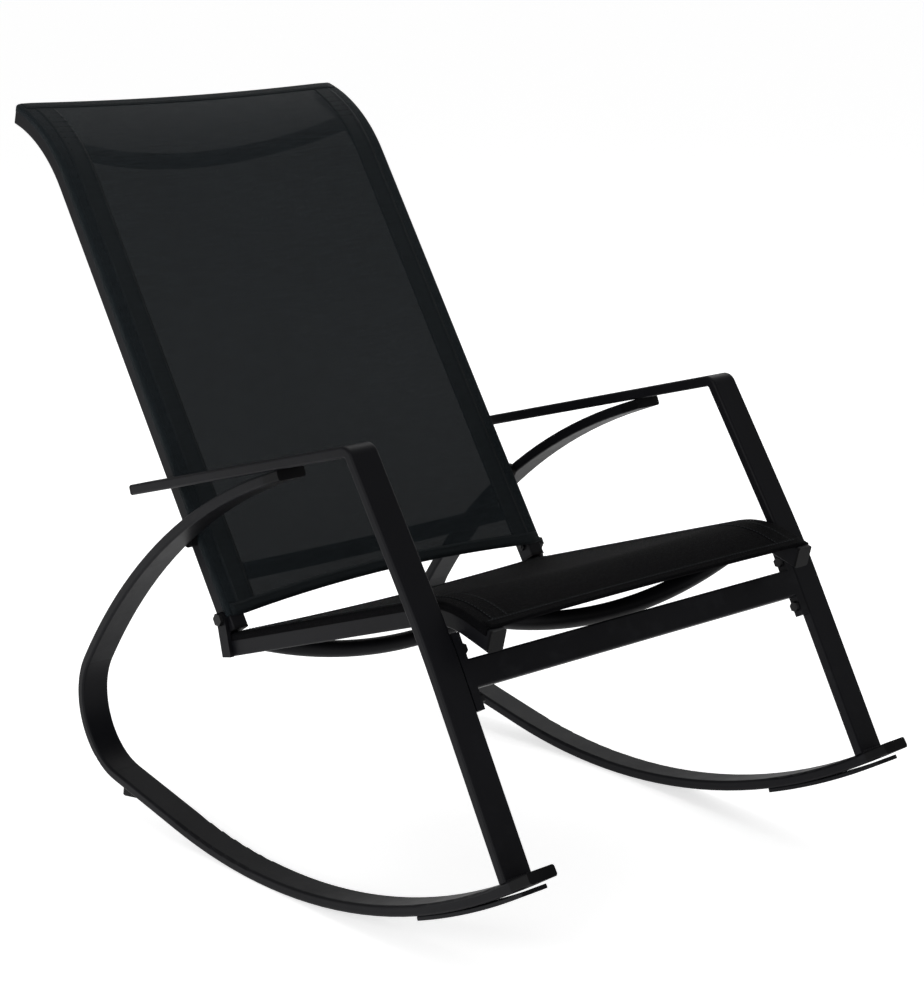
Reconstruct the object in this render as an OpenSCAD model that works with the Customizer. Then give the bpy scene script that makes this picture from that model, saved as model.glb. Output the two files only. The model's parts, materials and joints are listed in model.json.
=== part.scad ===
// Camp rocking chair: two flat-tube side frames (arm and leg in one bent tube,
// with a C-shaped rocker welded under the arm and to the foot of the leg),
// a sling back with a rolled top, and a sling seat carried on a front bar.
// The profile is drawn in an X (forward) / Z (up) plane and turned at the end,
// so that the chair faces -Y with the sitter's left on +X.

/* [Overall] */
// Overall width over the side frames
overall_w = 560; // [520:1:620]
// Lean of the whole chair as it rests on its rockers, in degrees
rest_lean = -0.5; // [-6:0.05:8]
// Distance from the rocker tip to the middle of the footprint
tip_to_middle = 474.6; // [420:0.5:560]

/* [Flat tube] */
// Width of the flat tube of arms, legs and rockers
flat_w = 35.5; // [30:0.5:40]
// Thickness of the flat tube
flat_t = 12; // [10:0.5:14]
// Wall of all tubes
wall = 1.2; // [1:0.1:2]

/* [Arm and leg] */
// Rise of the arm towards the front, in degrees
arm_rise = 15.9; // [12:0.1:18]
// Length of the arm along its top, up to the corner
arm_len = 408; // [380:1:430]
// Angle turned at the arm and leg corner
corner_turn = 72.6; // [70:0.1:76]
// Length of the leg above its slight bend
leg_upper = 160; // [120:1:200]
// Slight straightening bend of the leg, in degrees
leg_bend = 4.3; // [0.5:0.1:8]

/* [Rocker] */
// Outer radius of the floor arc
rock_r = 780; // [740:1:820]
// Angle of the floor arc
rock_a = 43.6; // [40:0.1:44]
// Outer radius of the upper arc
upper_r = 780; // [740:1:820]
// Angle of the upper arc
upper_a = 36.2; // [34:0.1:38]
// Outer radius of the heel bend
heel_r = 89; // [80:1:100]
// Angle of the heel bend
heel_a = 113.6; // [108:0.1:116]
// Length of the flatter run between the heel and the floor arc
flat_run = 124; // [100:1:150]

// Length of the black caps on the two ends of a rocker
rocker_cap = 28; // [10:1:30]

/* [Back] */
// Width of the back and seat frames
frame_w = 469; // [440:1:480]
// Width of the back and seat tubes across the chair
rail_w = 20; // [16:0.5:24]
// Depth of the back and seat tubes
rail_d = 24; // [20:0.5:28]
// Lean of the back from the floor, in degrees
back_angle = 57; // [54:0.1:62]
// Straight length of the back tubes
back_len = 561; // [520:1:600]
// Radius of the rolled top
roll_r = 175; // [140:1:200]
// Angle of the rolled top
roll_a = 41; // [30:0.5:50]
// Depth of the bow in the top crossbar
top_bow = 46; // [20:1:55]

/* [Seat] */
// Rise of the seat rails towards the front, in degrees
seat_rise = 18.7; // [16:0.1:21]
// Straight length of the seat rails
seat_len = 356; // [330:1:380]
// Radius of the seat front bend
front_r = 112; // [80:1:140]
// Angle of the seat front bend
front_a = 33.7; // [25:0.1:40]
// Length of the seat rail in front of the bend
front_len = 33; // [20:1:45]
// Depth of the bow of the two bars below the seat
seat_bow = 42; // [30:1:50]
// Diameter of the bow bars
bow_d = 19.5; // [18:0.5:25]

/* [Slings] */
// Thickness of the sling fabric
sling_t = 1.5; // [1:0.1:2.5]
// Clear gap between fabric and tube
sling_gap = 0.3; // [0.2:0.1:0.6]

/* [Front bar] */
// Height of the front crossbar
bar_h = 30; // [26:0.5:36]
// Thickness of the front crossbar
bar_t = 15; // [12:0.5:18]
// Length of the end plates of the front crossbar
plate_l = 80; // [76:1:90]
// Distance between the two bolts of an end plate
plate_bolts = 52; // [48:1:58]

/* [Hidden] */
$fn = 48;
half = overall_w / 2;
side_in = half - flat_w;
fh = frame_w / 2;
steel = [0.055, 0.055, 0.06];
plastic = [0.03, 0.03, 0.032];
fabric = [0.06, 0.065, 0.07];
zinc = [0.12, 0.12, 0.13];
cap_t = 3;
// straight runs reach a little into the bends next to them, and are finer by
// a hair all round so that the two surfaces meet in a clean step
lap = 0.3;
hair = 0.04;
$in = 0;
// profile states are [x, z, heading]
function adv(p, s) = s[1] == 0
  ? [p[0] + s[0] * cos(p[2]), p[1] + s[0] * sin(p[2]), p[2]]
  : let (R = s[0] / (abs(s[1]) * PI / 180), k = sign(s[1]))
    [p[0] + R * k * (sin(p[2] + s[1]) - sin(p[2])), p[1] - R * k * (cos(p[2] + s[1]) - cos(p[2])), p[2] + s[1]];
function advn(p, segs, i = 0) = i >= len(segs) ? p : advn(adv(p, segs[i]), segs, i + 1);
function off(p, d) = [p[0] - d * sin(p[2]), p[1] + d * cos(p[2]), p[2]];
function arc(R, a) = [R * abs(a) * PI / 180, a];

// datum: the rear end of the top of the arm
arm_top0 = [-655.7, 398, arm_rise];
arm_mid0 = off(arm_top0, -flat_t / 2);
corner_r = 9;
corner_cut = (corner_r + flat_t / 2) * tan(corner_turn / 2);
armleg = [
  [arm_len - corner_cut, 0],
  arc(corner_r, -corner_turn),
  [leg_upper, 0],
  [80, -leg_bend],
  [215, 0]
];
leg_mid1 = advn(arm_mid0, [armleg[0], armleg[1]]);

rock_out0 = [-381, 398 + (655.7 - 381) * tan(arm_rise) - flat_t / cos(arm_rise), 199.1];
upper_cap_a = rocker_cap / (upper_r - flat_t / 2) * 180 / PI;
rock_mid0 = adv(off(rock_out0, flat_t / 2), arc(upper_r - flat_t / 2, upper_cap_a));
link = [1, 0];
rocker = [
  [2, 0],
  arc(upper_r - flat_t / 2, upper_a - upper_cap_a),
  link,
  arc(heel_r - flat_t / 2, heel_a),
  link,
  [flat_run, 0],
  arc(rock_r - flat_t / 2, rock_a)
];
function upto(v, n) = [for (i = [0:n - 1]) v[i]];
rock_end = advn(rock_mid0, rocker);
floor0 = advn(rock_mid0, upto(rocker, 6));
floor_c = off(floor0, rock_r - flat_t / 2);

back_mid0 = [-538.1, 246, 180 - back_angle];
backpath = [[back_len, 0], arc(roll_r, roll_a)];
seat_mid0 = [-539.9, 226.7, seat_rise];
seatpath = [[seat_len, 0], arc(front_r, -front_a), [front_len, 0]];

// where the back tube crosses the upper rocker arc
up_c = off(rock_mid0, upper_r - flat_t / 2);
q0 = [back_mid0[0] - up_c[0], back_mid0[1] - up_c[1]];
qd = [cos(back_mid0[2]), sin(back_mid0[2])];
qb = q0[0] * qd[0] + q0[1] * qd[1];
qc = q0[0] * q0[0] + q0[1] * q0[1] - pow(upper_r - flat_t / 2, 2);
cross_s = -qb + sqrt(qb * qb - qc);
cross_p = adv(back_mid0, [cross_s, 0]);
rear_bolt_s = 14;
rear_bolt_p = adv(back_mid0, [rear_bolt_s, 0]);

// front bar: on the leg, front face flush with the leg's front
leg_at_bar = adv(leg_mid1, [leg_upper, 0]);
bar_p = advn(leg_mid1, [[leg_upper, 0], [80, -leg_bend], [0.5, 0]]);
bar_c = off(bar_p, (flat_t - bar_t) / 2);

// ---- placing and sweeping ----
module world() {
  rotate([0, 0, -90]) translate([tip_to_middle, 0, 0])
    translate([floor_c[0], 0, rock_r]) rotate([0, -rest_lean, 0]) translate([-floor_c[0], 0, -floor_c[1]])
      children();
}
module at(p) { translate([p[0], 0, p[1]]) rotate([0, -p[2], 0]) children(); }
module rrect(w, t, r) {
  square([w - 2 * r, t], center = true);
  square([w, t - 2 * r], center = true);
  for (i = [-1, 1]) for (j = [-1, 1]) translate([i * (w / 2 - r), j * (t / 2 - r)]) circle(r, $fn = 32);
}
module tube2(w, t, r) {
  difference() {
    rrect(w - 2 * $in, t - 2 * $in, r - $in);
    rrect(w - 2 * wall + 2 * $in, t - 2 * wall + 2 * $in, r - wall * 0.7 + $in);
  }
}
module sheet2() { square([frame_w - 1 - 2 * $in, sling_t - 2 * $in], center = true); }
module straight(L) { rotate([90, 0, 90]) linear_extrude(L) children(); }
module bend(R, a) {
  if (a > 0) translate([0, 0, R]) rotate([90, 90, 0]) rotate_extrude(angle = a, $fn = 360) translate([R, 0]) rotate(90) children();
  else mirror([0, 0, 1]) bend(R, -a) children();
}
module run(p, segs, i = 0) {
  if (i < len(segs)) {
    a = i > 0 ? lap : 0;
    b = i < len(segs) - 1 ? lap : 0;
    at(p) if (segs[i][1] == 0) translate([-a, 0, 0]) straight(segs[i][0] + a + b, $in = hair) children();
      else bend(segs[i][0] / (abs(segs[i][1]) * PI / 180), segs[i][1]) children();
    run(adv(p, segs[i]), segs, i + 1) children();
  }
}
module side(s) { if (s > 0) children(); else mirror([0, 1, 0]) children(); }
module yrod(p, y0, y1, d) { translate([p[0], y0, p[1]]) rotate([-90, 0, 0]) cylinder(d = d, h = y1 - y0); }
module yhex(p, y0, y1, af) { translate([p[0], y0, p[1]]) rotate([-90, 0, 0]) cylinder(d = af / cos(30), h = y1 - y0, $fn = 6); }

// ---- side frames ----
mid_y = half - flat_w / 2;
module flat2() { tube2(flat_w, flat_t, 3); }
bolt_pts = [for (k = [-1, 1]) adv(bar_p, [k * plate_bolts / 2, 0])];
module arm_leg(s) {
  color(steel) world() side(s) difference() {
    translate([0, mid_y, 0]) run(arm_mid0, armleg) flat2();
    // foot is cope-cut to the top of the rocker
    translate([0, half + 1, 0]) rotate([90, 0, 0]) translate([floor_c[0], floor_c[1], 0]) difference() {
      cylinder(r = rock_r + 120, h = flat_w + 2, $fn = 360);
      translate([0, 0, -1]) cylinder(r = rock_r - flat_t, h = flat_w + 4, $fn = 360);
    }
    for (p = bolt_pts) yrod(p, side_in - 1, side_in + 6, 9);
  }
}
module left_arm_leg_tube() { arm_leg(1); }
module right_arm_leg_tube() { arm_leg(-1); }

module rocker_tube(s) { color(steel) world() side(s) translate([0, mid_y, 0]) run(rock_mid0, rocker) flat2(); }
module left_rocker_tube() { rocker_tube(1); }
module right_rocker_tube() { rocker_tube(-1); }

// plug cap for an open tube end: heading points out of the tube
module cap(p, w, t, r, plug = 10, len = cap_t) {
  at(p) union() {
    straight(len) rrect(w, t, r);
    translate([-plug, 0, 0]) straight(plug) rrect(w - 2 * wall - 0.5, t - 2 * wall - 0.5, 1);
  }
}
function flip(p) = [p[0], p[1], p[2] + 180];
module flat_cap(s, p, len = cap_t) { color(plastic) world() side(s) translate([0, mid_y, 0]) cap(p, flat_w, flat_t, 3, 10, len); }
module left_arm_end_cap() { flat_cap(1, flip(arm_mid0)); }
module right_arm_end_cap() { flat_cap(-1, flip(arm_mid0)); }
module left_rocker_upper_cap() { flat_cap(1, flip(rock_mid0), rocker_cap); }
module right_rocker_upper_cap() { flat_cap(-1, flip(rock_mid0), rocker_cap); }
module left_rocker_front_cap() { flat_cap(1, rock_end, rocker_cap + 3); }
module right_rocker_front_cap() { flat_cap(-1, rock_end, rocker_cap + 3); }

// strip below the front of the rocker that leaves its curve towards the tip
strip_t = 4.5;
strip0 = advn(rock_mid0, concat(upto(rocker, 6), [arc(rock_r - flat_t / 2, rock_a - 11.8)]));
module stop_strip(s) {
  color(steel) world() side(s) translate([0, mid_y, 0])
    run(off(strip0, -flat_t / 2 - strip_t / 2), [arc(900, 11)]) rrect(flat_w - 3, strip_t, 1);
}
module left_front_stop_strip() { stop_strip(1); }
module right_front_stop_strip() { stop_strip(-1); }

// wedge under the heel end of the floor arc
module rear_stop(s) {
  p = advn(rock_mid0, concat(upto(rocker, 4), [[flat_run * 0.13, 0]]));
  color(plastic) world() side(s) translate([0, mid_y, 0]) intersection() {
    at(off(p, -flat_t / 2)) rotate([90, 0, 0]) translate([0, 0, -12.5]) linear_extrude(25)
      polygon([[-2, -0.05], [34, -0.05], [2, -12], [-2, -12]]);
    // top face follows the tube
    at(off(p, -flat_t / 2)) translate([-50, -50, -50.2]) cube([100, 100, 50]);
  }
}
module left_rear_stop() { rear_stop(1); }
module right_rear_stop() { rear_stop(-1); }

// ---- back ----
module rail2() { tube2(rail_w, rail_d, 2.5); }
rail_y = fh - rail_w / 2;
module back_tube(s) {
  color(steel) world() side(s) difference() {
    translate([0, rail_y, 0]) run(back_mid0, backpath) rail2();
    yrod(rear_bolt_p, fh - rail_w - 1, fh + 1, 6.4);
    yrod(cross_p, fh - 3, fh + 1, 8.4);
  }
}
module left_back_tube() { back_tube(1); }
module right_back_tube() { back_tube(-1); }
back_end = advn(back_mid0, backpath);
module rail_cap(s, p) { color(plastic) world() side(s) translate([0, rail_y, 0]) cap(p, rail_w, rail_d, 2.5, 8); }
module left_back_top_cap() { rail_cap(1, back_end); }
module right_back_top_cap() { rail_cap(-1, back_end); }
module left_back_bottom_cap() { rail_cap(1, flip(back_mid0)); }
module right_back_bottom_cap() { rail_cap(-1, flip(back_mid0)); }

// round bar between two rails, bowed by h towards -Z of the place p
module bow_bar(p, h, d) {
  c = fh - rail_w;
  R = (c * c + h * h) / (2 * h);
  a = asin(c / R);
  at(p) rotate([90, 0, 90]) translate([0, R - h, 0]) rotate(-90 - a)
    rotate_extrude(angle = 2 * a, $fn = 360) translate([R, 0]) difference() {
      circle(d = d, $fn = 48);
      circle(d = d - 2 * wall, $fn = 48);
    }
}
top_bar_p = advn(back_mid0, [backpath[0], arc(roll_r, 18)]);
module back_top_crossbar() { color(steel) world() bow_bar(flip(top_bar_p), top_bow, bow_d); }
low_bar_p = adv(back_mid0, [62, 0]);
module back_lower_crossbar() { color(steel) world() bow_bar(flip(low_bar_p), 10, 20); }

hem0 = 14;
module back_sling() {
  o = rail_d / 2 + sling_gap + sling_t / 2;
  color(fabric) world()
    run(off(adv(back_mid0, [hem0, 0]), -o), [[back_len - hem0, 0], arc(roll_r + o, roll_a)]) sheet2();
}

// ---- seat ----
module seat_rail(s) { color(steel) world() side(s) translate([0, rail_y, 0]) run(seat_mid0, seatpath) rail2(); }
module left_seat_rail() { seat_rail(1); }
module right_seat_rail() { seat_rail(-1); }
module left_seat_front_cap() { rail_cap(1, advn(seat_mid0, seatpath)); }
module right_seat_front_cap() { rail_cap(-1, advn(seat_mid0, seatpath)); }
module left_seat_rear_cap() { rail_cap(1, flip(seat_mid0)); }
module right_seat_rear_cap() { rail_cap(-1, flip(seat_mid0)); }
module seat_rear_bow() { color(steel) world() bow_bar(concat(adv(seat_mid0, [28, 0]), []), seat_bow, bow_d); }
module seat_front_bow() { color(steel) world() bow_bar(advn(seat_mid0, [seatpath[0], arc(front_r, -front_a / 2)]), seat_bow, bow_d); }
module seat_sling() {
  o = rail_d / 2 + sling_gap + sling_t / 2;
  color(fabric) world()
    run(off(adv(seat_mid0, [12, 0]), o), [[seat_len - 12, 0], arc(front_r + o, -front_a), [front_len - 8, 0]]) sheet2();
}

// strap on the outside that carries the rear of the seat rail from the back tube
module seat_bracket(s) {
  p = rear_bolt_p;
  q = [seat_mid0[0] + 2, seat_mid0[1] - 2];
  L = sqrt(pow(p[0] - q[0], 2) + pow(p[1] - q[1], 2));
  h = atan2(p[1] - q[1], p[0] - q[0]);
  color(steel) world() side(s) difference() {
    translate([0, fh, 0]) at([q[0], q[1], h]) rotate([-90, 0, 0]) union() {
      translate([0, -8, 0]) cube([L, 16, 5]);
      translate([L, 0, 0]) cylinder(r = 8, h = 5);
      translate([-9, -8, 0]) cube([10, 16, 5]);
    }
    yrod(p, fh - 1, fh + 6, 6.4);
  }
}
module left_seat_bracket() { seat_bracket(1); }
module right_seat_bracket() { seat_bracket(-1); }

// ---- front bar ----
module front_crossbar() {
  color(steel) world() translate([0, -fh, 0]) at([bar_c[0], bar_c[1], bar_c[2]])
    rotate([0, 0, 90]) straight(frame_w) rotate(90) tube2(bar_t, bar_h, 2.5);
}
module end_plate(s) {
  color(steel) world() side(s) difference() {
    translate([0, fh, 0]) at(adv(bar_p, [-plate_l / 2 - 3, 0])) translate([0, 0, -flat_t / 2]) cube([plate_l, side_in - fh, flat_t]);
    for (p = bolt_pts) yrod(p, fh - 1, side_in + 1, 6.4);
  }
}
module left_end_plate() { end_plate(1); }
module right_end_plate() { end_plate(-1); }

// ---- fasteners ----
module plate_bolt(s, i) {
  p = bolt_pts[i];
  color(zinc) world() side(s) union() {
    yhex(p, fh - 4.5, fh, 10);
    yrod(p, fh - 0.5, side_in + 14, 6);
  }
}
module leg_insert(s, i) {
  p = bolt_pts[i];
  color(zinc) world() side(s) difference() {
    yrod(p, side_in + 0.05, side_in + 14, 8.8);
    yrod(p, side_in - 1, side_in + 15, 6.1);
  }
}
module left_plate_bolt_upper() { plate_bolt(1, 0); }
module left_plate_bolt_lower() { plate_bolt(1, 1); }
module right_plate_bolt_upper() { plate_bolt(-1, 0); }
module right_plate_bolt_lower() { plate_bolt(-1, 1); }
module left_leg_insert_upper() { leg_insert(1, 0); }
module left_leg_insert_lower() { leg_insert(1, 1); }
module right_leg_insert_upper() { leg_insert(-1, 0); }
module right_leg_insert_lower() { leg_insert(-1, 1); }

module back_bolt(s) {
  color(zinc) world() side(s) union() {
    yhex(rear_bolt_p, fh + 5, fh + 10, 13);
    yrod(rear_bolt_p, fh - rail_w - 4, fh + 5.5, 6);
  }
}
module left_back_bolt() { back_bolt(1); }
module right_back_bolt() { back_bolt(-1); }
module back_nut(s) {
  color(zinc) world() side(s) difference() {
    yhex(rear_bolt_p, fh - rail_w - 3, fh - rail_w, 10);
    yrod(rear_bolt_p, fh - rail_w - 6, fh - rail_w + 1, 6.1);
  }
}
module left_back_nut() { back_nut(1); }
module right_back_nut() { back_nut(-1); }

module back_spacer(s) {
  color(plastic) world() side(s) difference() {
    yrod(cross_p, fh, side_in, 18);
    yrod(cross_p, fh - 1, side_in + 1, 8.3);
  }
}
module left_back_spacer() { back_spacer(1); }
module right_back_spacer() { back_spacer(-1); }
module back_stud(s) { color(zinc) world() side(s) yrod(cross_p, fh - rail_w + 3, side_in, 8); }
module left_back_stud() { back_stud(1); }
module right_back_stud() { back_stud(-1); }

left_arm_leg_tube();
right_arm_leg_tube();
left_rocker_tube();
right_rocker_tube();
left_arm_end_cap();
right_arm_end_cap();
left_rocker_upper_cap();
right_rocker_upper_cap();
left_rocker_front_cap();
right_rocker_front_cap();
left_front_stop_strip();
right_front_stop_strip();
left_rear_stop();
right_rear_stop();
left_back_tube();
right_back_tube();
left_back_top_cap();
right_back_top_cap();
left_back_bottom_cap();
right_back_bottom_cap();
back_top_crossbar();
back_lower_crossbar();
back_sling();
left_seat_rail();
right_seat_rail();
left_seat_front_cap();
right_seat_front_cap();
left_seat_rear_cap();
right_seat_rear_cap();
seat_rear_bow();
seat_front_bow();
seat_sling();
left_seat_bracket();
right_seat_bracket();
front_crossbar();
left_end_plate();
right_end_plate();
left_plate_bolt_upper();
left_plate_bolt_lower();
right_plate_bolt_upper();
right_plate_bolt_lower();
left_leg_insert_upper();
left_leg_insert_lower();
right_leg_insert_upper();
right_leg_insert_lower();
left_back_bolt();
right_back_bolt();
left_back_nut();
right_back_nut();
left_back_spacer();
right_back_spacer();
left_back_stud();
right_back_stud();
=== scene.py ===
import json, math, random
import bpy, bmesh
from mathutils import Vector, Matrix


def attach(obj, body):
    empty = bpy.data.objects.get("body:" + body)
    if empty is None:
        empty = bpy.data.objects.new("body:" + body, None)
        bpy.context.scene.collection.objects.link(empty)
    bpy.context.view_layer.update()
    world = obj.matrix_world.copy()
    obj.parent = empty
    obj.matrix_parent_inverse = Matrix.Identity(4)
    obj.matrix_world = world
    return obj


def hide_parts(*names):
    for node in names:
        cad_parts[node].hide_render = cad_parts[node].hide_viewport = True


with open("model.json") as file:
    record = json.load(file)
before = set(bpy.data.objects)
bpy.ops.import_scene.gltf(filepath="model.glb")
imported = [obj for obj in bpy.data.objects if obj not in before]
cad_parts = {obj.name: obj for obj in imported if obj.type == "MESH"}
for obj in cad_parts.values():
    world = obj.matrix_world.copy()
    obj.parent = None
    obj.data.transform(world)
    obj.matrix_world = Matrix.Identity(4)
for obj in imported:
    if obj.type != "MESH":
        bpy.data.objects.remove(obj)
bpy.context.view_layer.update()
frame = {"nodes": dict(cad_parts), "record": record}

scene = bpy.context.scene
N = frame["nodes"]

# ---------------------------------------------------------------- camera
cam_data = bpy.data.cameras.new("camera")
cam = bpy.data.objects.new("camera", cam_data)
scene.collection.objects.link(cam)
cam_data.sensor_fit = "HORIZONTAL"
cam_data.sensor_width = 36
cam_data.lens = 93.2159
cam_data.shift_x = 0.0
cam_data.shift_y = -0.10
cam_data.clip_start, cam_data.clip_end = 0.05, 60
R_ = Vector((0.752845, -0.658100, -0.011307))
U_ = Vector((0.141632, 0.145198, 0.979212))
B_ = Vector((-0.642778, -0.738798, 0.202520))
cam.matrix_world = Matrix((
    (R_.x, U_.x, B_.x, -1.70978),
    (R_.y, U_.y, B_.y, -2.02657),
    (R_.z, U_.z, B_.z, 1.03039),
    (0, 0, 0, 1)))
scene.camera = cam

# ---------------------------------------------------------------- helpers for materials
def new_mat(name):
    m = bpy.data.materials.new(name)
    m.use_nodes = True
    t = m.node_tree
    p = t.nodes["Principled BSDF"]
    return m, t, p

def node(t, kind, **kw):
    n = t.nodes.new(kind)
    for k, v in kw.items():
        if k in n.inputs.keys():
            n.inputs[k].default_value = v
        else:
            setattr(n, k, v)
    return n

def ramp(t, src, stops):
    r = t.nodes.new("ShaderNodeValToRGB")
    e = r.color_ramp.elements
    while len(e) < len(stops):
        e.new(0.5)
    for i, (pos, col) in enumerate(stops):
        e[i].position = pos
        e[i].color = (col, col, col, 1) if not hasattr(col, "__len__") else (*col, 1)
    t.links.new(src, r.inputs[0])
    return r

def math_node(t, op, a, b):
    n = t.nodes.new("ShaderNodeMath")
    n.operation = op
    for i, v in enumerate((a, b)):
        if isinstance(v, (int, float)):
            n.inputs[i].default_value = v
        else:
            t.links.new(v, n.inputs[i])
    return n.outputs[0]

def powder_coat():
    m, t, p = new_mat("powder_coat_satin")
    L = t.links.new
    tc = node(t, "ShaderNodeTexCoord")
    # slow tone variation, rub marks where hands and straps touch, and fine orange peel
    slow = node(t, "ShaderNodeTexNoise", Scale=9.0, Detail=3.0, Roughness=0.55)
    L(tc.outputs["Object"], slow.inputs["Vector"])
    peel = node(t, "ShaderNodeTexNoise", Scale=620.0, Detail=3.0, Roughness=0.6)
    L(tc.outputs["Object"], peel.inputs["Vector"])
    speck = node(t, "ShaderNodeTexVoronoi", Scale=900.0)
    L(tc.outputs["Object"], speck.inputs["Vector"])
    scuff = node(t, "ShaderNodeTexNoise", Scale=46.0, Detail=6.0, Roughness=0.62, Distortion=0.2)
    L(tc.outputs["Object"], scuff.inputs["Vector"])
    geo = node(t, "ShaderNodeNewGeometry")
    edge = ramp(t, geo.outputs["Pointiness"], [(0.52, 0.0), (0.60, 1.0)])
    base = ramp(t, slow.outputs["Fac"], [(0.3, (0.0030, 0.0030, 0.0040)), (0.7, (0.0046, 0.0047, 0.0059))])
    worn = math_node(t, "MULTIPLY", edge.outputs[0], ramp(t, scuff.outputs["Fac"], [(0.5, 0.0), (0.75, 0.22)]).outputs[0])
    mix = node(t, "ShaderNodeMix", data_type="RGBA")
    L(worn, mix.inputs[0])
    L(base.outputs[0], mix.inputs[6])
    mix.inputs[7].default_value = (0.024, 0.025, 0.028, 1)
    L(mix.outputs[2], p.inputs["Base Color"])
    rg = ramp(t, scuff.outputs["Fac"], [(0.25, 0.42), (0.75, 0.50)])
    L(rg.outputs[0], p.inputs["Roughness"])
    p.inputs["Specular IOR Level"].default_value = 0.085
    add = math_node(t, "ADD", math_node(t, "MULTIPLY", peel.outputs["Fac"], 1.0), math_node(t, "MULTIPLY", speck.outputs["Distance"], 0.35))
    b = node(t, "ShaderNodeBump", Strength=0.22, Distance=0.00025)
    L(add, b.inputs["Height"])
    L(b.outputs[0], p.inputs["Normal"])
    return m

def moulded(name, c0, c1, rough, strength=0.25):
    m, t, p = new_mat(name)
    L = t.links.new
    tc = node(t, "ShaderNodeTexCoord")
    n1 = node(t, "ShaderNodeTexNoise", Scale=45.0, Detail=4.0)
    L(tc.outputs["Object"], n1.inputs["Vector"])
    n2 = node(t, "ShaderNodeTexNoise", Scale=1500.0, Detail=2.0)
    L(tc.outputs["Object"], n2.inputs["Vector"])
    L(ramp(t, n1.outputs["Fac"], [(0.3, c0), (0.7, c1)]).outputs[0], p.inputs["Base Color"])
    L(ramp(t, n1.outputs["Fac"], [(0.3, rough), (0.7, rough + 0.12)]).outputs[0], p.inputs["Roughness"])
    p.inputs["Specular IOR Level"].default_value = 0.06
    b = node(t, "ShaderNodeBump", Strength=strength, Distance=0.0002)
    L(n2.outputs["Fac"], b.inputs["Height"])
    L(b.outputs[0], p.inputs["Normal"])
    return m

def zinc():
    m, t, p = new_mat("black_plated_steel")
    L = t.links.new
    tc = node(t, "ShaderNodeTexCoord")
    n1 = node(t, "ShaderNodeTexNoise", Scale=240.0, Detail=4.0)
    L(tc.outputs["Object"], n1.inputs["Vector"])
    L(ramp(t, n1.outputs["Fac"], [(0.3, (0.0022, 0.0022, 0.0026)), (0.75, (0.0050, 0.0050, 0.0057))]).outputs[0], p.inputs["Base Color"])
    L(ramp(t, n1.outputs["Fac"], [(0.3, 0.30), (0.7, 0.48)]).outputs[0], p.inputs["Roughness"])
    p.inputs["Specular IOR Level"].default_value = 0.16
    b = node(t, "ShaderNodeBump", Strength=0.2, Distance=0.0002)
    L(n1.outputs["Fac"], b.inputs["Height"])
    L(b.outputs[0], p.inputs["Normal"])
    return m

def weave(name, dark, light, alpha, pitch=0.0016, rough=0.62, gloss=0.07, sheen=0.006):
    """Coated-yarn mesh: a basket of warp and weft, laid out in metres on the UV map."""
    m, t, p = new_mat(name)
    L = t.links.new
    uv = node(t, "ShaderNodeUVMap", uv_map="metres")
    sep = node(t, "ShaderNodeSeparateXYZ")
    L(uv.outputs[0], sep.inputs[0])
    def wave(src, per, ph=0.0):
        a = math_node(t, "MULTIPLY", src, 2 * math.pi / per)
        a = math_node(t, "ADD", a, ph)
        return math_node(t, "SINE", a, 0.0)
    wu = wave(sep.outputs[0], pitch)          # yarns along the length
    wv = wave(sep.outputs[1], pitch)          # yarns across
    # over / under: which yarn is on top flips from one crossing to the next
    chk = math_node(t, "MULTIPLY", wave(sep.outputs[0], pitch * 2), wave(sep.outputs[1], pitch * 2))
    top = math_node(t, "MULTIPLY", math_node(t, "ADD", math_node(t, "MULTIPLY", chk, 2.5), 0.5), 1.0)
    t.nodes[-1].use_clamp = True
    hmix = node(t, "ShaderNodeMix", data_type="FLOAT")
    L(top, hmix.inputs[0])
    L(math_node(t, "ABSOLUTE", wu, 0.0), hmix.inputs[2])
    L(math_node(t, "ABSOLUTE", wv, 0.0), hmix.inputs[3])
    # colour: yarn tone, slubs across the width, and faint streaks; then painted shade and highlight from the weave
    # height, darker in the dips between yarns and lighter on their crowns
    slub = node(t, "ShaderNodeTexNoise", Scale=1.0, Detail=4.0, Roughness=0.6)
    sc = node(t, "ShaderNodeVectorMath", operation="MULTIPLY")
    L(uv.outputs[0], sc.inputs[0])
    sc.inputs[1].default_value = (26.0, 420.0, 1.0)
    L(sc.outputs[0], slub.inputs["Vector"])
    mott = node(t, "ShaderNodeTexNoise", Scale=330.0, Detail=2.0)
    L(uv.outputs[0], mott.inputs["Vector"])
    slow = node(t, "ShaderNodeTexNoise", Scale=6.0, Detail=2.0)
    L(uv.outputs[0], slow.inputs["Vector"])
    f = math_node(t, "ADD", math_node(t, "MULTIPLY", slub.outputs["Fac"], 0.55), math_node(t, "MULTIPLY", mott.outputs["Fac"], 0.45))
    f = math_node(t, "ADD", f, math_node(t, "MULTIPLY", slow.outputs["Fac"], 0.12))
    # painted shade in the weave: the colour is scaled by yarn height, x0.75 in the dips and up to x1.2 on the
    # crowns
    yarn_tone_and_painted_weave_shade = math_node(t, "MULTIPLY", f, math_node(t, "ADD", math_node(t, "MULTIPLY", hmix.outputs[0], 0.45), 0.75))
    L(ramp(t, yarn_tone_and_painted_weave_shade, [(0.40, dark), (0.66, light)]).outputs[0], p.inputs["Base Color"])
    L(ramp(t, mott.outputs["Fac"], [(0.3, rough - 0.06), (0.7, rough + 0.1)]).outputs[0], p.inputs["Roughness"])
    p.inputs["Specular IOR Level"].default_value = gloss
    p.inputs["Sheen Weight"].default_value = sheen
    p.inputs["Sheen Roughness"].default_value = 0.45
    p.inputs["Alpha"].default_value = alpha
    b = node(t, "ShaderNodeBump", Strength=0.5, Distance=0.0004)
    L(hmix.outputs[0], b.inputs["Height"])
    L(b.outputs[0], p.inputs["Normal"])
    return m

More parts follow.
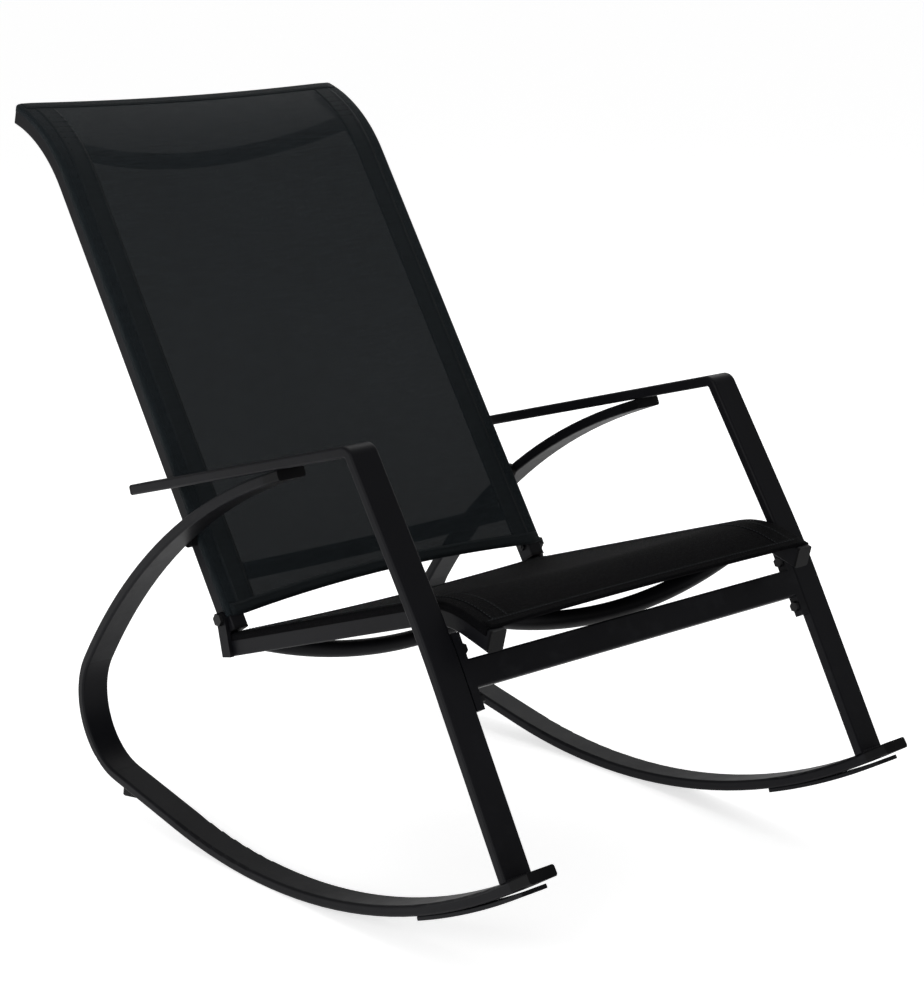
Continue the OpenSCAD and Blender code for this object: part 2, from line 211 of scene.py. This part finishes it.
M_metal = powder_coat()
M_plastic = moulded("moulded_black_plastic", (0.0022, 0.0022, 0.0025), (0.0040, 0.0040, 0.0044), 0.42)
M_zinc = zinc()
BACK_D, BACK_L = (0.0022, 0.0036, 0.0046), (0.0092, 0.0128, 0.0152)
M_back = weave("back_mesh_fabric", BACK_D, BACK_L, 0.915)
M_backband = weave("back_mesh_doubled", (0.0036, 0.0050, 0.0058), (0.0092, 0.0120, 0.0138), 1.0)
# painted shade: the seat's cloth is the same sling fabric as the back, given these much darker copies because the
# seat's top faces away from the side key light
M_seat_painted_shade = weave("seat_mesh_fabric_painted_shade", (0.0006, 0.0006, 0.0008), (0.0022, 0.0022, 0.0027), 0.99, rough=0.75, gloss=0.03, sheen=0.0)
M_seatband_painted_shade = weave("seat_mesh_doubled_painted_shade", (0.0006, 0.0006, 0.0008), (0.0024, 0.0024, 0.0029), 1.0, rough=0.75, gloss=0.03, sheen=0.0)
M_thread = moulded("stitch_thread", (0.010, 0.012, 0.013), (0.026, 0.029, 0.031), 0.55, 0.4)

slots = {s["node"]: s["material_slot"] for s in frame["record"]["subparts"]}
by_slot = {"powder_coat": M_metal, "black_plastic": M_plastic, "black_zinc": M_zinc, "sling_fabric": M_back}
for name, o in N.items():
    mat = by_slot[slots[name]]
    if not o.material_slots:
        o.data.materials.append(mat)
    for s in o.material_slots:
        s.material = mat

# ---------------------------------------------------------------- the chair's own profile
OW, FT = 560.0, 12.0
HALF, FH = OW / 2, 469.0 / 2
RW, RD = 20.0, 24.0
LEAN = math.radians(-0.5)
TIP = 474.6

def rad(a):
    return math.radians(a)

def adv(p, s):
    L, a = s
    if a == 0:
        return (p[0] + L * math.cos(rad(p[2])), p[1] + L * math.sin(rad(p[2])), p[2])
    R = L / rad(abs(a)); k = 1 if a > 0 else -1
    return (p[0] + R * k * (math.sin(rad(p[2] + a)) - math.sin(rad(p[2]))),
            p[1] - R * k * (math.cos(rad(p[2] + a)) - math.cos(rad(p[2]))), p[2] + a)

def advn(p, segs):
    for s in segs:
        p = adv(p, s)
    return p

def off(p, d):
    return (p[0] - d * math.sin(rad(p[2])), p[1] + d * math.cos(rad(p[2])), p[2])

def arc(R, a):
    return (R * rad(abs(a)), a)

ARM_RISE = 15.9
rock_out0 = (-381.0, 398 + (655.7 - 381) * math.tan(rad(ARM_RISE)) - FT / math.cos(rad(ARM_RISE)), 199.1)
rock0 = off(rock_out0, FT / 2)
ROCK = [(2, 0), arc(774, 36.2), (1, 0), arc(83, 113.6), (1, 0), (124, 0), arc(774, 45.8)]
floor_c = off(advn(rock0, ROCK[:6]), 774)
back0 = (-538.1, 246.0, 123.0)
BACK = [(561.0, 0), arc(175, 41)]
seat0 = (-539.9, 226.7, 18.7)
SEAT = [(356.0, 0), arc(112, -33.7), (33.0, 0)]
arm0 = off((-655.7, 398.0, ARM_RISE), -FT / 2)
cut = 15 * math.tan(rad(36.3))
ARMLEG = [(408 - cut, 0), arc(9, -72.6), (160, 0), (80, -4.3), (215, 0)]

def W(x, z, y=0.0):
    """profile millimetres (x forward, z up, y to the sitter's left) to the row frame in metres"""
    dx, dz = x - floor_c[0], z - floor_c[1]
    X = floor_c[0] + dx * math.cos(LEAN) - dz * math.sin(LEAN)
    Z = 780 + dx * math.sin(LEAN) + dz * math.cos(LEAN)
    return Vector((y / 1000, -(X + TIP) / 1000, Z / 1000))

def at_s(p, segs, s):
    for L, a in segs:
        if s <= L:
            return adv(p, (s, 0 if a == 0 else a * s / L)) if s > 0 else p
        p = adv(p, (L, a)); s -= L
    return adv(p, (s, 0))

def total(segs):
    return sum(s[0] for s in segs)

def mesh_obj(name, verts, faces, mats, uvs=None, smooth=True, fmat=None):
    me = bpy.data.meshes.new(name)
    me.from_pydata(verts, [], faces)
    for m in mats:
        me.materials.append(m)
    if uvs is not None:
        lay = me.uv_layers.new(name="metres")
        for poly in me.polygons:
            for li in poly.loop_indices:
                lay.data[li].uv = uvs[me.loops[li].vertex_index]
    if smooth:
        for poly in me.polygons:
            poly.use_smooth = True
    if fmat:
        for poly, i in zip(me.polygons, fmat):
            poly.material_index = i
    me.validate()
    ob = bpy.data.objects.new(name, me)
    scene.collection.objects.link(ob)
    return ob

# ---------------------------------------------------------------- slings
# A cross-section of the cloth: flat between the tubes, over each tube's face and round its
# outer corner, then down the outer side by a few millimetres. t is the distance along the cloth.
CORNER = 3.0
def cloth_section(clear, drop):
    """list of (t, lateral, normal offset from the tube's centreline) for the right half, t from 0 at the middle"""
    top = RD / 2 + clear
    side = FH + clear
    out = []
    flat = side - CORNER
    n = 26
    for i in range(n + 1):
        f = i / n
        out.append((flat * f, flat * f, top))
    t = flat
    for k in range(1, 7):
        a = math.pi / 2 * k / 6
        out.append((t + CORNER * a, flat + CORNER * math.sin(a), top - CORNER + CORNER * math.cos(a)))
    t += CORNER * math.pi / 2
    for k in range(1, 4):
        d = drop * k / 3
        out.append((t + d, side, top - CORNER - d))
    return out

def sling(name, p0, segs, sign, s0, s1, mat, clear=0.75, drop=4.5, sag=5.0, end0=0.0, end1=0.0, thick=0.0009, step=9.0, puck=0.0, band=None):
    """sign +1: cloth on the left of the heading (seat), -1: on the right (back)"""
    half = cloth_section(clear, drop)
    sec = [(-t, -y, n) for t, y, n in reversed(half[1:])] + half
    tmax = half[-1][0]
    rows = max(8, int((s1 - s0) / step))
    verts, uvs = [], []
    inner = FH - RW
    rnd = random.Random(5)
    for j in range(rows + 1):
        for t, y, n in sec:
            u = min(1.0, abs(y) / inner)
            a = s0 + end0 * (1 - u * u)
            b = s1 - end1 * (1 - u * u)
            s = a + (b - a) * j / rows
            q = at_s(p0, segs, max(0.0, s))
            g = (1 - u * u)
            ends = math.sin(math.pi * min(1, max(0, (s - s0) / (s1 - s0)))) ** 0.5
            dip = sag * g * (0.55 + 0.45 * ends)
            # faint cross ripples that fan from the tubes
            dip += puck * math.sin(s / 23.0 + 2.0 * u) * (1 - u) * u * 4
            w = off(q, sign * (n - dip))
            verts.append(W(w[0], w[1], y))
            uvs.append(((t + tmax) / 1000, s / 1000))
    m = len(sec)
    faces = []
    for j in range(rows):
        for i in range(m - 1):
            a, b, c, d = j * m + i, j * m + i + 1, (j + 1) * m + i + 1, (j + 1) * m + i
            faces.append((a, b, c, d) if sign > 0 else (a, d, c, b))
    ob = mesh_obj(name, verts, faces, [mat], uvs)
    so = ob.modifiers.new("thickness", "SOLIDIFY")
    so.thickness = thick * 1000 / 1000
    so.offset = -1.0
    so.use_even_offset = True
    return ob, (2 * tmax / 1000, (s1 - s0) / 1000)

S_BACK = total(BACK)
back_cloth, back_flat = sling("back_mesh_sling", back0, BACK, -1, 13.0, S_BACK + 1.0, M_back,
                              sag=5.0, end0=11.0, end1=3.5, step=9.0, puck=0.12)
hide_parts("back_sling")
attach(back_cloth, "root")

S_SEAT = total(SEAT)
# the seat cloth wears the darker copy of the sling fabric, a painted shade
seat_cloth, seat_flat = sling("seat_mesh_sling", seat0, SEAT, 1, 12.0, S_SEAT - 3.0, M_seat_painted_shade,
                              sag=5.0, end0=7.0, end1=7.0, step=7.0, puck=0.10)
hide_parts("seat_sling")
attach(seat_cloth, "root")

def surf(p0, segs, sign, s0, s1, s, y, lift, clear, sag, end0, end1):
    """a point lift above the sling's face, at cloth coordinate s and lateral y on the flat part"""
    inner = FH - RW
    u = min(1.0, abs(y) / inner)
    q = at_s(p0, segs, max(0.0, s))
    ends = math.sin(math.pi * min(1, max(0, (s - s0) / (s1 - s0)))) ** 0.5
    dip = sag * (1 - u * u) * (0.55 + 0.45 * ends)
    w = off(q, sign * (RD / 2 + clear - dip + lift))
    return W(w[0], w[1], y)

BK = dict(p0=back0, segs=BACK, sign=-1, s0=13.0, s1=S_BACK + 1.0, clear=0.75, sag=5.0, end0=11.0, end1=3.5)
ST = dict(p0=seat0, segs=SEAT, sign=1, s0=12.0, s1=S_SEAT - 3.0, clear=0.75, sag=5.0, end0=7.0, end1=7.0)

def tape(name, K, y_of, lo, hi, mat, along, n_cross, n_along, lift=0.55, thick=0.0008):
    """a doubled strip stitched on the cloth. The along argument ('s' runs up the side, 'y' runs across an end) is
    not used.
    """
    verts, uvs, faces = [], [], []
    for j in range(n_along + 1):
        for i in range(n_cross + 1):
            f, g = i / n_cross, j / n_along
            s, y = y_of(f, g)
            verts.append(surf(K["p0"], K["segs"], K["sign"], K["s0"], K["s1"], s, y, lift, K["clear"], K["sag"], K["end0"], K["end1"]))
            uvs.append(((y + 250) / 1000, s / 1000))
    m = n_cross + 1
    for j in range(n_along):
        for i in range(n_cross):
            a, b, c, d = j * m + i, j * m + i + 1, (j + 1) * m + i + 1, (j + 1) * m + i
            faces.append((a, b, c, d))
    ob = mesh_obj(name, verts, faces, [mat], uvs)
    # every face looks away from the tubes
    me = ob.data
    q = at_s(K["p0"], K["segs"], 100)
    nrm = (W(*off(q, K["sign"] * 10)[:2]) - W(q[0], q[1])).normalized()
    mid = me.polygons[len(me.polygons) // 3]
    if mid.normal.dot(nrm) < 0:
        me.flip_normals()
    so = ob.modifiers.new("thickness", "SOLIDIFY")
    so.thickness = thick
    so.offset = 0.0
    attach(ob, "root")
    return ob

def side_tape(name, K, sgn, y0, y1, mat, s_pad0, s_pad1):
    def f(a, g):
        y = sgn * (y0 + (y1 - y0) * a)
        u = min(1.0, abs(y) / (FH - RW))
        lo = K["s0"] + K["end0"] * (1 - u * u) + s_pad0
        hi = K["s1"] - K["end1"] * (1 - u * u) - s_pad1
        return lo + (hi - lo) * g, y
    return tape(name, K, f, 0, 0, mat, "s", 6, 80)

def end_tape(name, K, mat, top, w):
    def f(a, g):
        y = (-1 + 2 * g) * (FH - 3.5)
        u = min(1.0, abs(y) / (FH - RW))
        if top:
            e = K["s1"] - K["end1"] * (1 - u * u)
            return e - w * a, y
        e = K["s0"] + K["end0"] * (1 - u * u)
        return e + w * a, y
    return tape(name, K, f, 0, 0, mat, "y", 3, 60, lift=0.95)

made = []
for side, sg in (("left", 1), ("right", -1)):
    made.append(side_tape(f"back_edge_band_{side}", BK, sg, FH - RW - 20, FH - RW + 6, M_backband, 0.5, 0.5))
    made.append(side_tape(f"seat_edge_band_{side}", ST, sg, FH - RW - 20, FH - RW + 6, M_seatband_painted_shade, 0.5, 0.5))
made.append(end_tape("back_bottom_hem", BK, M_backband, False, 13))
made.append(end_tape("back_top_hem", BK, M_backband, True, 15))
made.append(end_tape("seat_rear_hem", ST, M_seatband_painted_shade, False, 13))
made.append(end_tape("seat_front_hem", ST, M_seatband_painted_shade, True, 13))

def roll_edge(name, K, top, mat, r=1.5):
    """the fold at the end of the cloth: a soft round edge"""
    verts, faces, uvs = [], [], []
    n, k = 70, 10
    for j in range(n + 1):
        y = (-1 + 2 * j / n) * (FH - 3.0)
        u = min(1.0, abs(y) / (FH - RW))
        s = K["s1"] - K["end1"] * (1 - u * u) if top else K["s0"] + K["end0"] * (1 - u * u)
        c = surf(K["p0"], K["segs"], K["sign"], K["s0"], K["s1"], s, y, -0.2, K["clear"], K["sag"], 0, 0)
        q = at_s(K["p0"], K["segs"], max(0, s))
        t = (W(*adv(q, (10, 0))[:2]) - W(q[0], q[1])).normalized()
        m = (W(*off(q, 10)[:2]) - W(q[0], q[1])).normalized()
        rr = r / 1000 * (0.35 if j in (0, n) else 1.0)
        for i in range(k):
            a = 2 * math.pi * i / k
            verts.append(c + t * (rr * math.cos(a)) + m * (rr * 0.8 * math.sin(a)))
            uvs.append((y / 1000 + 0.3, i / k * 0.009))
    for j in range(n):
        for i in range(k):
            a, b = j * k + i, j * k + (i + 1) % k
            faces.append((a, b, b + k, a + k))
    faces.append(tuple(range(k))[::-1])
    faces.append(tuple(n * k + i for i in range(k)))
    ob = mesh_obj(name, verts, faces, [mat], uvs)
    bm = bmesh.new(); bm.from_mesh(ob.data); bmesh.ops.recalc_face_normals(bm, faces=bm.faces); bm.to_mesh(ob.data); bm.free()
    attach(ob, "root")
    return ob

made.append(roll_edge("back_top_fold", BK, True, M_backband))
made.append(roll_edge("back_bottom_fold", BK, False, M_backband))
made.append(roll_edge("seat_front_fold", ST, True, M_seatband_painted_shade))
made.append(roll_edge("seat_rear_fold", ST, False, M_seatband_painted_shade))

def stitches(name, rows, mat, length=2.9, r=0.42):
    """rows: lists of (point, direction, normal); each stitch is a small rounded bar"""
    verts, faces = [], []
    prof = [(-0.5, 0.25), (-0.36, 0.85), (0.0, 1.0), (0.36, 0.85), (0.5, 0.25)]
    k = 6
    for pts in rows:
        for c, d, nrm in pts:
            e = nrm.cross(d).normalized()
            base = len(verts)
            for f, rr in prof:
                for i in range(k):
                    a = 2 * math.pi * i / k
                    lift = (1 - (2 * f) ** 2) * 0.18
                    verts.append(c + d * (f * length / 1000) + e * (rr * r / 1000 * math.cos(a)) + nrm * ((rr * r * math.sin(a) + lift) / 1000))
            for q in range(len(prof) - 1):
                for i in range(k):
                    a, b = base + q * k + i, base + q * k + (i + 1) % k
                    faces.append((a, b, b + k, a + k))
            faces.append(tuple(base + i for i in range(k))[::-1])
            faces.append(tuple(base + (len(prof) - 1) * k + i for i in range(k)))
    ob = mesh_obj(name, verts, faces, [mat])
    bm = bmesh.new(); bm.from_mesh(ob.data); bmesh.ops.recalc_face_normals(bm, faces=bm.faces); bm.to_mesh(ob.data); bm.free()
    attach(ob, "root")
    return ob

def row_along(K, y, lift, pitch=4.2, pad=9):
    out = []
    u = min(1.0, abs(y) / (FH - RW))
    lo = K["s0"] + K["end0"] * (1 - u * u) + pad
    hi = K["s1"] - K["end1"] * (1 - u * u) - pad
    n = int((hi - lo) / pitch)
    P = lambda s, l: surf(K["p0"], K["segs"], K["sign"], K["s0"], K["s1"], s, y, l, K["clear"], K["sag"], 0, 0)
    for i in range(n):
        s = lo + (i + 0.5) * pitch
        a, b = P(s - 1, lift), P(s + 1, lift)
        nrm = (P(s, lift + 5) - P(s, lift)).normalized()
        out.append(((a + b) / 2, (b - a).normalized(), nrm))
    return out

def row_across(K, top, inset, lift, pitch=4.2):
    out = []
    n = int(2 * (FH - 8) / pitch)
    def P(y, l):
        u = min(1.0, abs(y) / (FH - RW))
        s = K["s1"] - K["end1"] * (1 - u * u) - inset if top else K["s0"] + K["end0"] * (1 - u * u) + inset
        return surf(K["p0"], K["segs"], K["sign"], K["s0"], K["s1"], s, y, l, K["clear"], K["sag"], 0, 0)
    for i in range(n):
        y = -(FH - 8) + (i + 0.5) * pitch
        a, b = P(y - 1, lift), P(y + 1, lift)
        nrm = (P(y, lift + 5) - P(y, lift)).normalized()
        out.append(((a + b) / 2, (b - a).normalized(), nrm))
    return out

for tag, K in (("back", BK), ("seat", ST)):
    rows = []
    for sg in (1, -1):
        rows.append(row_along(K, sg * (FH - RW + 3.2), 1.05))
        rows.append(row_along(K, sg * (FH - RW - 17.2), 1.05))
        rows.append(row_along(K, sg * (FH - 4.6), 0.12))
    for top in (True, False):
        rows.append(row_across(K, top, 10.5, 1.45))
    made.append(stitches(f"{tag}_sling_stitching", rows, M_thread))

# ---------------------------------------------------------------- weld beads
def bead(name, pts, r=1.5, seed=1):
    """a lumpy fillet of weld along a line of points, in metres"""
    rnd = random.Random(seed)
    fine = []
    for a, b in zip(pts[:-1], pts[1:]):
        n = max(1, int((b - a).length / 0.0011))
        for i in range(n):
            fine.append(a.lerp(b, i / n))
    fine.append(pts[-1])
    verts, faces = [], []
    k = 8
    for j, c in enumerate(fine):
        d = (fine[min(j + 1, len(fine) - 1)] - fine[max(j - 1, 0)]).normalized()
        e = d.cross(Vector((0.31, 0.43, 0.85))).normalized()
        f = d.cross(e)
        rr = r / 1000 * (0.88 + 0.16 * math.sin(j * 2.1) + rnd.uniform(-0.05, 0.05))
        if j in (0, len(fine) - 1):
            rr *= 0.4
        for i in range(k):
            a = 2 * math.pi * i / k
            verts.append(c + e * (rr * math.cos(a)) + f * (rr * math.sin(a)))
    for j in range(len(fine) - 1):
        for i in range(k):
            a, b = j * k + i, j * k + (i + 1) % k
            faces.append((a, b, b + k, a + k))
    faces.append(tuple(range(k)))
    faces.append(tuple((len(fine) - 1) * k + i for i in range(k)))
    ob = mesh_obj(name, verts, faces, [M_metal])
    bm = bmesh.new(); bm.from_mesh(ob.data); bmesh.ops.recalc_face_normals(bm, faces=bm.faces); bm.to_mesh(ob.data); bm.free()
    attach(ob, "root")
    return ob

def ring_pts(c, r, ax_u, ax_v, n=28):
    return [c + ax_u * (r * math.cos(2 * math.pi * i / n)) + ax_v * (r * math.sin(2 * math.pi * i / n)) for i in range(n + 1)]

leg_p = advn(arm0, ARMLEG[:2])
lower_p = advn(leg_p, [(160, 0), (80, -4.3)])
# where the lower leg's two wide faces meet the rocker's upper face
def leg_hit(d):
    lo, hi = 0.0, 260.0
    for _ in range(50):
        m = (lo + hi) / 2
        q = off(adv(lower_p, (m, 0)), d)
        if math.hypot(q[0] - floor_c[0], q[1] - floor_c[1]) < 768:
            lo = m
        else:
            hi = m
    return off(adv(lower_p, (lo, 0)), d)

for side, sg in (("left", 1), ("right", -1)):
    f1, yarn_tone_and_painted_weave_shade = leg_hit(FT / 2), leg_hit(-FT / 2)
    yi, yo = (HALF - 35.5 + 2.5) * sg, (HALF - 2.5) * sg
    made.append(bead(f"{side}_leg_foot_weld_front", [W(f1[0], f1[1], yi), W(f1[0], f1[1], yo)], 1.9, 3))
    made.append(bead(f"{side}_leg_foot_weld_rear", [W(yarn_tone_and_painted_weave_shade[0], yarn_tone_and_painted_weave_shade[1], yi), W(yarn_tone_and_painted_weave_shade[0], yarn_tone_and_painted_weave_shade[1], yo)], 1.9, 4))
    # rocker's upper end under the arm
    q = off(arm0, -FT / 2)
    ra = adv(rock0, (0, 0)) if False else rock0
    t = [off(at_s(rock0, ROCK, s), -FT / 2) for s in (1, 12, 24)]
    pts = [W(t[0][0], t[0][1], yo), W(t[1][0], t[1][1], yo), W(t[2][0], t[2][1], yo)]

# bow bars and crossbars into the rails
def bar_rings(tag, p, r, bow, mid_x=None):
    for side, sg in (("left", 1), ("right", -1)):
        c0 = W(p[0], p[1], sg * (FH - RW + 0.1))
        u = (W(*adv(p, (10, 0))[:2]) - W(p[0], p[1])).normalized()
        v = (W(*off(p, 10)[:2]) - W(p[0], p[1])).normalized()
        made.append(bead(f"{tag}_weld_{side}", ring_pts(c0, r / 1000 + 0.0002, u, v), 1.3, 7))

bar_rings("top_crossbar", advn(back0, [BACK[0], arc(175, 18)]), 9.75, 46)
bar_rings("lower_crossbar", adv(back0, (62, 0)), 10, 10)
bar_rings("rear_bow", adv(seat0, (28, 0)), 9.75, 42)
bar_rings("front_bow", advn(seat0, [SEAT[0], arc(112, -33.7 / 2)]), 9.75, 42)

# ---------------------------------------------------------------- floor and light
def plain(name, c, rough):
    m, t, p = new_mat(name)
    p.inputs["Base Color"].default_value = (*c, 1)
    p.inputs["Roughness"].default_value = rough
    p.inputs["Specular IOR Level"].default_value = 0.1
    return m

M_floor = plain("floor_pale", (0.93, 0.93, 0.93), 0.9)
M_floor.node_tree.nodes["Principled BSDF"].inputs["Emission Color"].default_value = (1, 1, 1, 1)
M_floor.node_tree.nodes["Principled BSDF"].inputs["Emission Strength"].default_value = 0.60
fl = mesh_obj("floor", [(-30, -30, 0), (30, -30, 0), (30, 30, 0), (-30, 30, 0)], [(0, 1, 2, 3)], [M_floor], smooth=False)

w = bpy.data.worlds.new("studio")
scene.world = w
w.use_nodes = True
bg = w.node_tree.nodes["Background"]
bg.inputs[0].default_value = (1.0, 1.0, 1.0, 1)
bg.inputs[1].default_value = 0.42
# the backdrop itself is pure white, while it lights the chair more softly
bg2 = w.node_tree.nodes.new("ShaderNodeBackground")
bg2.inputs[0].default_value = (1.0, 1.0, 1.0, 1)
bg2.inputs[1].default_value = 1.0
lp = w.node_tree.nodes.new("ShaderNodeLightPath")
mx = w.node_tree.nodes.new("ShaderNodeMixShader")
w.node_tree.links.new(lp.outputs["Is Camera Ray"], mx.inputs[0])
w.node_tree.links.new(bg.outputs[0], mx.inputs[1])
w.node_tree.links.new(bg2.outputs[0], mx.inputs[2])
w.node_tree.links.new(mx.outputs[0], w.node_tree.nodes["World Output"].inputs[0])

def area(name, loc, target, size, power, size_y=None):
    d = bpy.data.lights.new(name, "AREA")
    d.energy = power
    d.size = size
    if size_y:
        d.shape = "RECTANGLE"
        d.size_y = size_y
    o = bpy.data.objects.new(name, d)
    scene.collection.objects.link(o)
    o.location = loc
    o.rotation_mode = "QUATERNION"
    o.rotation_quaternion = (Vector(target) - Vector(loc)).to_track_quat("-Z", "Y")
    return o

area("key", (-3.4, -0.9, 1.4), (0, 0, 0.4), 2.4, 62)
area("top", (0.6, 0.8, 3.6), (0, 0, 0.2), 3.0, 34)
area("rim", (2.6, 1.6, 2.2), (0, 0, 0.5), 1.6, 14)

scene.view_settings.view_transform = "Standard"
scene.view_settings.look = "None"
